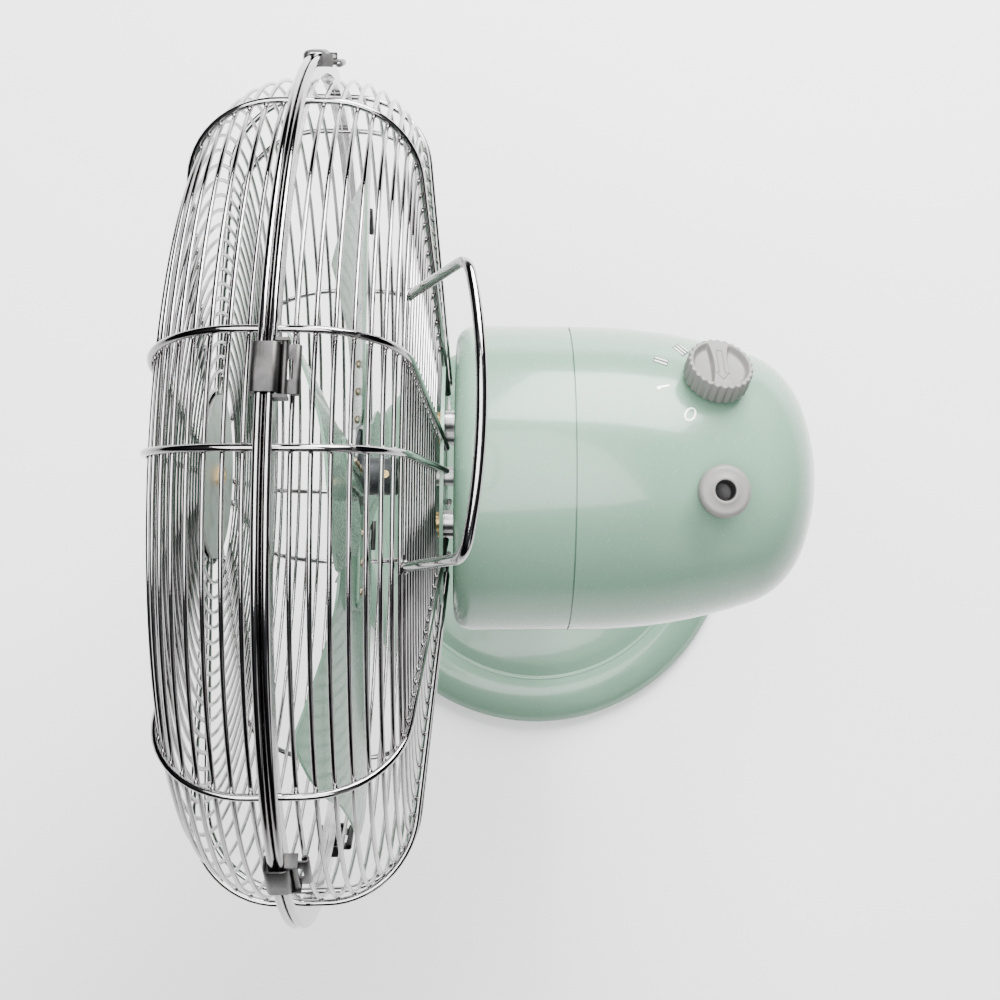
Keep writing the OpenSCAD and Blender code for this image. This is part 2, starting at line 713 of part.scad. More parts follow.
module blade_hub() {
  color("#4c5054") difference() {
    union() {
      on_shaft(hub_y) cylinder(r = hub_r, h = hub_len);
      on_shaft(hub_y) cylinder(r = hub_r + 12, h = 1.6);
      for (i = [0:blade_count - 1]) turned(i * 360 / blade_count) arm_bar();
    }
    on_shaft(hub_y - 1) cylinder(r = shaft_r, h = hub_len + 2);
    translate([0, hub_y + hub_len - 5, axis_h]) cylinder(r = 1.6, h = hub_r + 2);
  }
}

// Pitched arm that a blade is riveted to
arm_reach = 56;
module blade_frame() { translate([0, hub_y + 0.8, 0]) rotate([0, 0, blade_pitch]) children(); }
module arm_bar() {
  blade_frame() translate([-10, -0.8, hub_r + 2]) cube([20, 1.6, arm_reach - hub_r - 2]);
}

// A blade is cut from a tube wall whose axis runs along the blade
camber_r = 150;
module blade(i) {
  root = 21;
  color(sage) turned((i - 1) * 360 / blade_count) intersection() {
    blade_frame() translate([0, -0.8 - camber_r, 0]) difference() {
      translate([0, 0, root - 10]) cylinder(r = camber_r, h = blade_r, $fn = 180);
      translate([0, 0, root - 11]) cylinder(r = camber_r - blade_t, h = blade_r + 2, $fn = 180);
    }
    translate([0, hub_y + 40, 0]) rotate([90, 0, 0]) linear_extrude(80) intersection() {
      circle(r = blade_r);
      blade_outline(root);
    }
  }
}

// Outline seen along the shaft: a narrow root that widens to a broad rounded tip
module blade_outline(root) {
  half = blade_w / 2;
  polygon(concat(
    [[-15, root]],
    arc(-15 - 62, root + 17, 62, -14, 24, 6),
    arc(-half + 44, blade_r - 62, 44, 160, 100, 8),
    arc(half - 34, blade_r - 36, 34, 78, -10, 10),
    arc(half - 66, root + 36, 58, 10, -34, 6),
    [[15, root]]));
}

module blade_rivets() {
  color("#8f9aa0") for (i = [0:blade_count - 1]) turned(i * 360 / blade_count) blade_frame()
    for (z = [24, 36, 48]) translate([0, -3.2, z]) rotate([-90, 0, 0])
      cylinder(r = 1.8, h = 5.4);
}

module hub_screw() {
  color("#b79a57") translate([0, hub_y + hub_len - 5, axis_h + shaft_r]) difference() {
    cylinder(r = 1.6, h = hub_r - shaft_r + 1.4);
    translate([0, 0, hub_r - shaft_r + 1.4]) cube([6, 0.8, 1.4], center = true);
  }
}

// ---- swing drive ------------------------------------------------------------------------------

crank_shaft_r = 3;
wheel_r = wheel_x - worm_r - 0.3;
wheel_teeth = 20;
crank_z = axis_h - 44;
link_z = crank_z - 3.2;
link_t = 2.6;

module gear_wheel() {
  color("#e8e4d8") translate([wheel_x, wheel_y, axis_h - 3]) difference() {
    cylinder(r = wheel_r, h = 6);
    for (i = [0:wheel_teeth - 1]) rotate(i * 360 / wheel_teeth) translate([wheel_r, 0, -1])
      cylinder(r = 0.55, h = 8);
    translate([0, 0, -1]) cylinder(r = crank_shaft_r + run_gap, h = 8);
  }
}

module crank() {
  color(steel) translate([wheel_x, wheel_y, 0]) {
    post(crank_shaft_r, crank_z, axis_h + 10);
    post(crank_throw + link_pin_r + 1.5, crank_z, crank_z + 3);
    translate([-crank_throw, 0, 0]) post(link_pin_r, link_z - 1, crank_z + 1);
  }
}

link_from = [wheel_x - crank_throw, wheel_y];
link_to = [-arm_len, 0];
// How far the fixed arm's pin runs along the link's slot at the ends of the swing
slot_run = crank_throw - arm_len * (1 - cos(40));
link_len = norm(link_to - link_from);
link_dir = atan2(link_to[1] - link_from[1], link_to[0] - link_from[0]);
module swing_link() {
  eye = link_pin_r + eye_play;
  color(steel) difference() {
    union() {
      translate([link_from[0], link_from[1], link_z]) rotate(link_dir) {
        cylinder(r = link_pin_r + 2.5, h = link_t);
        translate([0, -3, 0]) cube([link_len - eye, 6, link_t]);
      }
      link_slot(eye + 2, link_z, link_t);
    }
    translate([link_from[0], link_from[1], link_z - 1]) cylinder(r = link_pin_r + run_gap, h = link_t + 2);
    link_slot(eye, link_z - 1, link_t + 2);
  }
}

// Rounded slot that follows the fixed arm's pin
module link_slot(r, low, h) {
  translate([link_to[0], link_to[1], low]) {
    cylinder(r = r, h = h);
    translate([-slot_run, 0, 0]) cylinder(r = r, h = h);
    translate([-slot_run, -r, 0]) cube([slot_run, 2 * r, h]);
  }
}

// ---- knobs ------------------------------------------------------------------------------------

swing_stem_r = 5;
swing_seat = sqrt(pow(dome_radius(wheel_y), 2) - pow(wheel_x, 2));
swing_top = sqrt(pow(dome_radius(wheel_y - swing_knob_r), 2) - pow(wheel_x - swing_knob_r, 2));
module swing_knob() {
  low = swing_top + swing_travel + 0.5;
  cap = 5;
  color(plastic) translate([wheel_x, wheel_y, axis_h]) difference() {
    union() {
      post(swing_stem_r, swing_seat - 12, low + 1);
      translate([0, 0, low]) rotate_extrude() polygon(concat([[0, 0], [swing_knob_r - 0.8, 0], [swing_knob_r, 0.8]],
        arc(swing_knob_r - 2.4, cap - 2.4, 2.4, 0, 90, 6), [[5.25, cap], [5.25, cap + 0.4], [0, cap + 0.4]]));
    }
    translate([0, 0, low + cap - 8]) cylinder(r = 4.1, h = 10);
    translate([0, 0, swing_seat - 13]) cylinder(r = rod_r, h = 14);
  }
}

rod_r = 2;
module knob_rod() {
  color(steel) translate([wheel_x, wheel_y, axis_h]) post(rod_r, 10 + swing_travel + 1, swing_seat + 1);
}

speed_lean = 33;
speed_slope = 8;
speed_stem_r = 3.2;
module at_speed_knob() {
  r = dome_radius(wheel_y);
  translate([-r * sin(speed_lean), wheel_y, axis_h + r * cos(speed_lean)])
    rotate([0, -speed_lean, 0]) rotate([-speed_slope, 0, 0]) children();
}

knob_lift = 2.6;
flute_count = 26;
module speed_knob() {
  color(plastic) at_speed_knob() difference() {
    union() {
      translate([0, 0, knob_lift]) cylinder(r = speed_knob_r, h = speed_knob_h - knob_lift);
      translate([0, 0, -10]) cylinder(r = speed_stem_r, h = 12 + knob_lift);
    }
    for (i = [0:flute_count - 1]) rotate((i + 0.5) * 360 / flute_count)
      translate([speed_knob_r + 0.4, 0, knob_lift - 1]) cylinder(r = 1, h = speed_knob_h);
    translate([0, 0, speed_knob_h - 2]) difference() {
      cylinder(r = speed_knob_r - 2.2, h = 3);
      knob_grip();
    }
  }
}

// Waisted bar across the knob's dished top
module knob_grip() {
  difference() {
    translate([-speed_knob_r, -4.6, -1]) cube([2 * speed_knob_r, 9.2, 6]);
    for (side = [-1, 1]) translate([0, side * 27, -2]) cylinder(r = 24, h = 8);
  }
}

module speed_switch() {
  color("#2d2f31") at_speed_knob() difference() {
    translate([-11, -11, -22]) cube([22, 22, 16]);
    translate([0, 0, -30]) cylinder(r = speed_stem_r + run_gap, h = 40);
  }
}

// ---- assembly ---------------------------------------------------------------------------------

base_pad();
base_plate();
base_weight();
base_shell();
cord_inlet();
column();
column_nut();
tilt_bolt();
tilt_nut();
tilt_knuckle();
swing_arm();
motor_bracket();
front_housing();
rear_housing();
seam_band();
front_bell();
rear_bell();
stator_core();
stator_coils();
stator_bolts();
shaft_bushes();
gear_case();
speed_switch();
run_capacitor();
guard_plate();
guard_spacers();
guard_screws();
rear_rings();
rear_ribs();
rear_rim();
carry_handle();
front_rim();
front_rings();
front_ribs();
front_badge();
badge_back();
badge_screw();
clip_pins();
motor_shaft();
rotor_core();
worm();
blade_hub();
blade(1);  // blade_1
blade(2);  // blade_2
blade(3);  // blade_3
blade(4);  // blade_4
blade_rivets();
hub_screw();
gear_wheel();
crank();
swing_link();
swing_knob();
knob_rod();
speed_knob();
clip(1);  // clip_1
clip(2);  // clip_2
clip(3);  // clip_3
clip(4);  // clip_4
clip(5);  // clip_5
clip(6);  // clip_6
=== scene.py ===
import math
import bpy
import bmesh
from mathutils import Euler, Matrix, Vector


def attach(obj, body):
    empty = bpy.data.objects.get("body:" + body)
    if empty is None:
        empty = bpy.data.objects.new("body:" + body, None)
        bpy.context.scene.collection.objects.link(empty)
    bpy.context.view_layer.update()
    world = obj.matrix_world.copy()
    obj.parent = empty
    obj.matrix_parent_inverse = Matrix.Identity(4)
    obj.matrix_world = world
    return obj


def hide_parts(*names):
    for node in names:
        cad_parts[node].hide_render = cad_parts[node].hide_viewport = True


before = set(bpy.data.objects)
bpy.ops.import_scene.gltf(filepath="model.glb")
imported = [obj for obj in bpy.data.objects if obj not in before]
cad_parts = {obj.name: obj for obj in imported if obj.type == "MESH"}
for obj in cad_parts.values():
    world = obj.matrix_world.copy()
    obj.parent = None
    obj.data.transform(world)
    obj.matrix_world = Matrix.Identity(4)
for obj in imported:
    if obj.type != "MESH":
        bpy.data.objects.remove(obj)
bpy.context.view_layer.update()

# Oscillating desk fan. Metres and degrees; the fan blows towards -Y, +Z is up. Turns about the
# shaft are counted from the top towards -X.
SHAFT_H = 0.290          # height of the motor shaft
RIM_Y = -0.104           # plane between the two rims
RIM_R = 0.175            # outer radius of the rims
RING_R = 0.1643          # radius of the ring wires along the guard's straight side
WALL_START = 0.00295     # how far from the rims' plane the guard's wall begins
FIRST_RING = 0.0042      # length along the wall to the first ring wire
RING_GAP = 0.0061        # spacing of the ring wires
REAR_SIDE = 0.0095       # end of the rear guard's straight side, from the rims' plane
REAR_BEND = 0.031        # radius of the rear guard's corner
WIRE = 0.00085           # radius of a ring wire
RIB = 0.00125            # radius of a rib wire
SUNK = 0.0002            # how far one welded wire sinks into another
RIB_OUT = WIRE + RIB - SUNK   # how far the ribs lie outside the rings' middle line
CLIPS = 6
CLIP_TURN = 4.8          # turn of the first rim clip
FIRST_RIB = CLIP_TURN + 5.1   # turn of the first rib
PAIR_ANGLE = 12.9        # between the two ribs of a pair
RIB_SHIFT = 2.2          # how far one rib sits off its even place
BLADES = 4
PITCH = 14.0             # slant of the blades
HUB_Y = RIM_Y + 0.014    # front face of the blade hub
ARM_HALF = 0.0008        # half the thickness of the hub's arms
KNOB_Y = 0.054           # both knobs stand on the housing's dome at this Y
SPEED_KNOB_TOP = 0.0120  # height of the speed knob above its foot
SWING_KNOB_X = 0.0125
SWING_KNOB_R = 0.0102    # outer radius


# ---- writing finishes ---------------------------------------------------------------------------

class Shade:
    """A number or colour that varies over a surface. Arithmetic on it adds Math nodes."""

    def __init__(self, finish, socket):
        self.finish = finish
        self.socket = socket

    def maths(self, operation, *terms):
        return self.finish.add("ShaderNodeMath", {"operation": operation}, dict(enumerate(terms)))

    def __add__(self, other):
        return self.maths("ADD", self, other)

    def __radd__(self, other):
        return self.maths("ADD", other, self)

    def __sub__(self, other):
        return self.maths("SUBTRACT", self, other)

    def __rsub__(self, other):
        return self.maths("SUBTRACT", other, self)

    def __mul__(self, other):
        return self.maths("MULTIPLY", self, other)

    def __rmul__(self, other):
        return self.maths("MULTIPLY", other, self)

    def between(self, low, high):
        """0 below low, 1 above high, smooth in between."""
        settings = {"interpolation_type": "SMOOTHSTEP"}
        sockets = {"Value": self, "From Min": low, "From Max": high}
        return self.finish.add("ShaderNodeMapRange", settings, sockets)


class Finish:
    """A procedural material with one Principled shader."""

    def __init__(self, name, **steady):
        self.material = bpy.data.materials.new(name)
        self.material.use_nodes = True
        self.tree = self.material.node_tree
        self.shader = self.tree.nodes["Principled BSDF"]
        for socket, value in steady.items():
            self.shader.inputs[socket.replace("_", " ")].default_value = value
        self.here = self.add("ShaderNodeTexCoord", {}, {}, "Object")

    def add(self, kind, settings, sockets, output=0):
        """Adds a node: its settings first, then the values or links of its sockets."""
        node = self.tree.nodes.new(kind)
        for name, value in settings.items():
            if name == "stops":
                self.fill_ramp(node.color_ramp, value)
            else:
                setattr(node, name, value)
        for key, value in sockets.items():
            if isinstance(value, Shade):
                self.tree.links.new(value.socket, node.inputs[key])
            else:
                node.inputs[key].default_value = value
        return Shade(self, node.outputs[output])

    @staticmethod
    def fill_ramp(ramp, stops):
        for spare in range(len(stops) - 2):
            ramp.elements.new(0.5)
        for element, (place, colour) in zip(ramp.elements, stops):
            element.position = place
            element.color = colour

    def feed(self, socket, value):
        self.tree.links.new(value.socket, self.shader.inputs[socket])

    def stretched(self, x, y, z):
        return self.add("ShaderNodeMapping", {}, {"Vector": self.here, "Scale": (x, y, z)})

    def noise(self, scale, detail=3.0, rough=0.5, at=None):
        sockets = {"Vector": at or self.here, "Scale": scale, "Detail": detail, "Roughness": rough}
        return self.add("ShaderNodeTexNoise", {}, sockets, "Fac")

    def specks(self, scale):
        return self.add("ShaderNodeTexVoronoi", {}, {"Vector": self.here, "Scale": scale}, "Distance")

    def stripes(self, direction, scale, wobble=0.0):
        sockets = {"Vector": self.here, "Scale": scale, "Distortion": wobble}
        return self.add("ShaderNodeTexWave", {"bands_direction": direction}, sockets)

    def ramp(self, factor, *stops):
        return self.add("ShaderNodeValToRGB", {"stops": stops}, {"Fac": factor})

    def mix(self, factor, first, second):
        return self.add("ShaderNodeMix", {"data_type": "RGBA"}, {0: factor, 6: first, 7: second}, 2)

    def bump(self, height, strength, depth):
        sockets = {"Height": height, "Strength": strength, "Distance": depth}
        self.feed("Normal", self.add("ShaderNodeBump", {}, sockets))


def rgb(red, green, blue):
    return (red, green, blue, 1.0)


def sage_enamel():
    """Gloss sage enamel: faint cloudiness, orange peel, a thin film of dust and fine hairline marks."""
    f = Finish("sage_enamel", Coat_Weight=0.3, Coat_Roughness=0.05, Specular_IOR_Level=0.35)
    cloud = f.noise(14.0, 4.0, 0.55)
    dust = f.noise(900.0, 2.0, 0.7).between(0.60, 0.74)
    colour = f.mix(cloud.between(0.3, 0.7), rgb(0.150, 0.262, 0.188), rgb(0.166, 0.284, 0.206))
    f.feed("Base Color", f.mix(dust * 0.35, colour, rgb(0.26, 0.34, 0.28)))
    f.feed("Roughness", 0.17 + cloud * 0.10 + dust * 0.2)
    peel = f.noise(420.0, 1.0, 0.4) + f.noise(2600.0, 2.0, 0.5) * 0.12
    f.bump(peel, 0.10, 0.0004)
    return f.material


def bright_chrome():
    """Plated wire: clear reflections, faint haze in places, tiny pits and drawing lines."""
    f = Finish("bright_chrome", Metallic=1.0)
    haze = f.noise(60.0, 4.0, 0.6)
    pits = f.specks(1600.0).between(0.02, 0.10)
    f.feed("Base Color", f.ramp(haze, (0.30, rgb(0.26, 0.245, 0.245)), (0.70, rgb(0.42, 0.415, 0.42))))
    f.feed("Roughness", 0.05 + haze.between(0.45, 0.8) * 0.16 + (1 - pits) * 0.2)
    f.bump(pits * 0.4 + f.noise(1500.0, 2.0), 0.06, 0.0002)
    return f.material


def clip_steel():
    """Rolled spring steel: satin, with a drawn-out brushed grain and handling marks."""
    f = Finish("clip_steel", Metallic=1.0)
    brushed = f.noise(1400.0, 3.0, 0.6, f.stretched(0.06, 1.0, 1.0))
    wear = f.noise(90.0, 4.0, 0.65)
    worn = wear.between(0.35, 0.75)
    f.feed("Base Color", f.mix(worn, rgb(0.045, 0.044, 0.044), rgb(0.085, 0.083, 0.081)))
    f.feed("Roughness", 0.28 + brushed * 0.16 + wear * 0.08)
    f.bump(brushed, 0.16, 0.0002)
    return f.material


def bare_steel():
    """Turned or stamped steel parts with a machined grain."""
    f = Finish("bare_steel", Metallic=1.0)
    grain = f.noise(1100.0, 3.0, 0.6, f.stretched(1.0, 0.08, 1.0))
    stain = f.noise(70.0, 4.0, 0.6).between(0.45, 0.75)
    f.feed("Base Color", f.mix(stain, rgb(0.55, 0.55, 0.5555), rgb(0.396, 0.385, 0.363)))
    f.feed("Roughness", 0.28 + grain * 0.14 + stain * 0.1)
    f.bump(grain, 0.12, 0.0002)
    return f.material


def hub_steel():
    """Dark phosphate-coated steel, rubbed bright in small patches."""
    f = Finish("hub_steel", Specular_IOR_Level=0.5)
    rub = f.noise(160.0, 5.0, 0.65).between(0.56, 0.72)
    f.feed("Base Color", f.mix(rub, rgb(0.050, 0.054, 0.058), rgb(0.30, 0.31, 0.31)))
    f.feed("Metallic", 0.35 + rub * 0.6)
    f.feed("Roughness", 0.48 - rub * 0.14 + f.noise(700.0) * 0.1)
    f.bump(f.noise(1200.0, 3.0), 0.15, 0.0003)
    return f.material


def knob_plastic():
    """Warm light grey moulding: fine spark grain, dust in low places, slight handling shine."""
    f = Finish("knob_plastic", Specular_IOR_Level=0.42, Subsurface_Weight=0.04)
    f.shader.inputs["Subsurface Scale"].default_value = 0.002
    tone = f.noise(45.0, 4.0, 0.55)
    grime = f.noise(380.0, 4.0, 0.7).between(0.58, 0.78)
    colour = f.mix(tone, rgb(0.160, 0.155, 0.148), rgb(0.190, 0.186, 0.178))
    f.feed("Base Color", f.mix(grime * 0.35, colour, rgb(0.30, 0.29, 0.27)))
    f.feed("Roughness", 0.38 + f.noise(240.0) * 0.16)
    f.bump(f.noise(3200.0, 2.0, 0.6), 0.18, 0.0002)
    return f.material


def dial_silver():
    """Hot-stamped silver of the dial marks, a little patchy."""
    f = Finish("dial_silver", Metallic=0.55)
    patch = f.noise(2200.0, 3.0, 0.7).between(0.35, 0.65)
    f.feed("Base Color", f.mix(patch, rgb(0.66, 0.67, 0.66), rgb(0.86, 0.87, 0.86)))
    f.feed("Roughness", 0.30 + (1 - patch) * 0.25)
    return f.material


def dial_outline():
    """Dark edge line pressed round the larger dial marks."""
    f = Finish("dial_outline", Specular_IOR_Level=0.3)
    wear = f.noise(1800.0, 3.0, 0.7)
    f.feed("Base Color", f.mix(wear.between(0.5, 0.75), rgb(0.055, 0.060, 0.058), rgb(0.14, 0.16, 0.15)))
    f.feed("Roughness", 0.5 + wear * 0.2)
    return f.material


def brass(name="brass", tone=(0.66, 0.47, 0.20)):
    """Turned brass, dulled unevenly."""
    f = Finish(name, Metallic=1.0)
    dull = f.noise(220.0, 4.0, 0.65)
    bright, dark = rgb(*tone), rgb(tone[0] * 0.55, tone[1] * 0.48, tone[2] * 0.42)
    f.feed("Base Color", f.mix(dull.between(0.4, 0.8), bright, dark))
    f.feed("Roughness", 0.22 + dull * 0.28)
    f.bump(f.noise(1500.0, 2.0, 0.6, f.stretched(1.0, 0.2, 1.0)), 0.1, 0.0002)
    return f.material


def copper_winding():
    """Varnished copper turns, seen as fine parallel ridges."""
    f = Finish("copper_winding", Metallic=0.85, Coat_Weight=0.4, Coat_Roughness=0.2)
    turns = f.stripes("Z", 420.0, 1.5)
    f.feed("Base Color", f.mix(turns, rgb(0.16, 0.055, 0.02), rgb(0.62, 0.26, 0.11)))
    f.feed("Roughness", 0.3 + f.noise(500.0) * 0.2)
    f.bump(turns, 0.5, 0.0004)
    return f.material


def cast_metal(name, tone, rough):
    """Sand or die casting: grainy, uneven, matt."""
    f = Finish(name, Metallic=0.8)
    grit = f.noise(900.0, 5.0, 0.7)
    blotch = f.noise(40.0, 4.0, 0.6)
    dull = rgb(tone * 0.75, tone * 0.76, tone * 0.78)
    f.feed("Base Color", f.mix(blotch, dull, rgb(tone, tone, tone)))
    f.feed("Roughness", rough + grit * 0.2)
    f.bump(grit, 0.35, 0.0005)
    return f.material


def sheet_stack():
    """Edges of the stamped sheets that the motor's core is stacked from."""
    f = Finish("sheet_stack", Metallic=0.9)
    edges = f.stripes("Y", 320.0)
    rust = f.noise(120.0, 5.0, 0.7).between(0.6, 0.8)
    thin_rust = rust * 0.5
    steel = f.mix(edges, rgb(0.16, 0.16, 0.17), rgb(0.36, 0.36, 0.37))
    f.feed("Base Color", f.mix(thin_rust, steel, rgb(0.22, 0.12, 0.07)))
    f.feed("Roughness", 0.35 + rust * 0.3)
    f.bump(edges, 0.4, 0.0003)
    return f.material


def moulded(name, low, high, rough):
    """Plain moulded plastic or rubber with a fine surface grain."""
    f = Finish(name, Specular_IOR_Level=0.4)
    tone = f.noise(60.0, 4.0, 0.6)
    grain = f.noise(2400.0, 3.0, 0.6)
    f.feed("Base Color", f.mix(tone, rgb(*low), rgb(*high)))
    f.feed("Roughness", rough + grain * 0.15)
    f.bump(grain, 0.25, 0.0003)
    return f.material


# ---- making pieces ------------------------------------------------------------------------------

def around(turn, x, y, r):
    """Point r above the shaft and x to the side, then turned about the shaft."""
    a = math.radians(turn)
    return Vector((x * math.cos(a) - r * math.sin(a), y, SHAFT_H + x * math.sin(a) + r * math.cos(a)))


def arc(cx, cy, r, start, end, steps):
    """Points on an arc about (cx, cy), from one angle to another."""
    angles = [math.radians(start + (end - start) * i / steps) for i in range(steps + 1)]
    return [(cx + r * math.cos(a), cy + r * math.sin(a)) for a in angles]


class Mesh:
    """Vertices and faces gathered before they become one piece."""

    def __init__(self):
        self.points = []
        self.faces = []

    def grid(self, rows, close_rows=False, close_columns=False, flip=False):
        """Joins rows of points, all of one length, into quads."""
        start, n = len(self.points), len(rows[0])
        for row in rows:
            self.points.extend(row)
        for i in range(len(rows) - (0 if close_rows else 1)):
            here, below = start + i * n, start + (i + 1) % len(rows) * n
            for j in range(n - (0 if close_columns else 1)):
                across = (j + 1) % n
                quad = (here + j, below + j, below + across, here + across)
                self.faces.append(tuple(reversed(quad)) if flip else quad)
        return start

    def cap(self, first, count, flip=False):
        """Closes a loop of points with one face."""
        loop = list(range(first, first + count))
        self.faces.append(tuple(reversed(loop)) if flip else tuple(loop))

    def tube(self, path, radius, sides=16, closed=False):
        """A round wire along a path."""
        n = len(path)
        forward = []
        for i in range(n):
            before = path[(i - 1) % n] if closed or i else path[i]
            after = path[(i + 1) % n] if closed or i < n - 1 else path[i]
            forward.append((after - before).normalized())
        side = forward[0].orthogonal().normalized()
        rows = []
        for i in range(n):
            side = (side - forward[i] * side.dot(forward[i])).normalized()
            up = forward[i].cross(side)
            turns = [2 * math.pi * k / sides for k in range(sides)]
            rows.append([path[i] + (side * math.cos(t) + up * math.sin(t)) * radius for t in turns])
        start = self.grid(rows, close_rows=closed, close_columns=True)
        if not closed:
            self.cap(start, sides)
            self.cap(start + (n - 1) * sides, sides, flip=True)

    def turned(self, outline, place, steps, closed=True):
        """Turns an outline of (radius, height) about the Z of a placing matrix."""
        rows = []
        for k in range(steps):
            a = 2 * math.pi * k / steps
            rows.append([place @ Vector((r * math.cos(a), r * math.sin(a), h)) for r, h in outline])
        self.grid(rows, close_rows=True, close_columns=closed, flip=True)

    def bead(self, centre, x, y, z, across=8, along=6):
        """A small ellipsoid with the given half-axes."""
        rows = []
        turns = [2 * math.pi * k / across for k in range(across)]
        for i in range(1, along):
            p = math.pi * i / along
            wide, pole = math.sin(p), centre + z * math.cos(p)
            rows.append([pole + x * wide * math.cos(t) + y * wide * math.sin(t) for t in turns])
        start = self.grid(rows, close_columns=True, flip=True)
        self.cap(start, across)
        self.cap(start + (along - 2) * across, across, flip=True)

    def piece(self, name, body, finish, slot, replaces=(), sharp=40.0):
        """Makes the piece, smooth but for edges sharper than an angle, and puts it on its body."""
        mesh = bpy.data.meshes.new(name)
        mesh.from_pydata([tuple(p) for p in self.points], [], self.faces)
        work = bmesh.new()
        work.from_mesh(mesh)
        bmesh.ops.remove_doubles(work, verts=work.verts, dist=1e-6)
        bmesh.ops.recalc_face_normals(work, faces=work.faces)
        for edge in work.edges:
            edge.smooth = len(edge.link_faces) == 2 and edge.calc_face_angle(0.0) < math.radians(sharp)
        for face in work.faces:
            face.smooth = True
        work.to_mesh(mesh)
        work.free()
        thing = bpy.data.objects.new(name, mesh)
        bpy.context.scene.collection.objects.link(thing)
        mesh.materials.append(finish)
        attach(thing, body)
        if replaces:
            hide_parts(*replaces)
        return thing


def on_shaft(y):
    """Placing matrix that puts Z along +Y on the shaft."""
    return Matrix.Translation((0, y, SHAFT_H)) @ Matrix.Rotation(math.radians(-90), 4, "X")


# ---- guards -------------------------------------------------------------------------------------

class Guard:
    """One half of the wire guard. facing is -1 for the front, 1 for the rear.

    Its wall runs straight from the rims to side, round a corner of radius bend, and then in
    towards the shaft, domed a little. The rings end at the radius inner, the ribs at reach.
    """

    def __init__(self, name, facing, side, bend, dome, inner, reach):
        self.name, self.facing, self.side, self.bend = name, facing, side, bend
        self.inner, self.reach = inner, reach
        self.lean = math.atan(dome / (RING_R - bend - inner))
        self.corner = bend * (math.pi / 2 - self.lean)

    def at(self, s, out=0.0):
        """Point at a length along the wall, as (distance from the rims' plane, radius)."""
        straight = self.side - WALL_START
        if s < straight:
            return WALL_START + s, RING_R + out
        corner_r = RING_R - self.bend
        if s < straight + self.corner:
            t = (s - straight) / self.bend
            return self.side + (self.bend + out) * math.sin(t), corner_r + (self.bend + out) * math.cos(t)
        inward = s - straight - self.corner
        c, n = math.cos(self.lean), math.sin(self.lean)
        return (self.side + (self.bend + out) * c + inward * n,
                corner_r + (self.bend + out) * n - inward * c)

    def on_wall(self, turn, s, out=0.0):
        y, r = self.at(s, out)
        return around(turn, 0, RIM_Y + self.facing * y, r)

    def rows(self):
        """Lengths along the wall at which the ring wires lie."""
        total = self.side + self.bend * math.pi / 2 + RING_R - self.bend - self.inner
        lengths = [FIRST_RING + RING_GAP * k for k in range(int(total / RING_GAP) + 1)]
        clear = 0.002
        return [s for s in lengths if self.at(s)[1] > self.inner + clear]

    def rings(self, finish):
        mesh, steps = Mesh(), 128
        for s in self.rows():
            loop = [self.on_wall(360 * k / steps, s) for k in range(steps)]
            mesh.tube(loop, WIRE, 12, closed=True)
        mesh.piece(self.name + "_ring_wires", "head", finish, "chrome_wire", [self.name + "_rings"])

    def rib_path(self, turn):
        """A rib starts between the rims, follows the wall outside the rings, and ends at its reach."""
        steps, start, before_corner = 14, 0.00015, 0.0001
        outline = [(start, RING_R + RIB_OUT), (self.side / 2, RING_R + RIB_OUT)]
        for i in range(steps + 1):
            s = self.side - WALL_START - before_corner + self.corner * i / steps
            outline.append(self.at(s, RIB_OUT))
        y, r = outline[-1]
        outline.append((y + (r - self.reach) * math.tan(self.lean), self.reach))
        return [around(turn, 0, RIM_Y + self.facing * y, r) for y, r in outline]

    def ribs(self, finish):
        mesh = Mesh()
        for turn in RIB_TURNS:
            mesh.tube(self.rib_path(turn), RIB, 16)
        mesh.piece(self.name + "_rib_wires", "head", finish, "chrome_wire", [self.name + "_ribs"])

    def welds(self, finish):
        """The flattened beads where each ring is welded to each rib."""
        mesh = Mesh()
        half_length, half_width, half_height, out, step = 0.0019, 0.00105, 0.0008, WIRE * 0.8, 0.001
        for turn in RIB_TURNS:
            side = around(turn, 1, 0, 0) - around(turn, 0, 0, 0)
            for s in self.rows():
                centre = self.on_wall(turn, s, out)
                along = (self.on_wall(turn, s + step, out) - centre).normalized()
                up = side.cross(along)
                mesh.bead(centre, side * half_length, along * half_width, up * half_height)
        mesh.piece(self.name + "_weld_beads", "head", finish, "chrome_wire")


# In each quarter a pair of ribs and one rib midway between pairs; one rib sits a little off
RIB_TURNS = [FIRST_RIB + 90 * q + (90 - PAIR_ANGLE) / 2 * k for q in range(4) for k in range(3)]
RIB_TURNS[10] -= RIB_SHIFT


def guards(chrome):
    front = Guard("front", -1, side=0.008, bend=0.0335, dome=0.0025, inner=0.037, reach=0.028)
    rear = Guard("rear", 1, side=REAR_SIDE, bend=REAR_BEND, dome=0.008, inner=0.055, reach=0.041)
    for guard in (front, rear):
        guard.rings(chrome)
        guard.ribs(chrome)
        guard.welds(chrome)


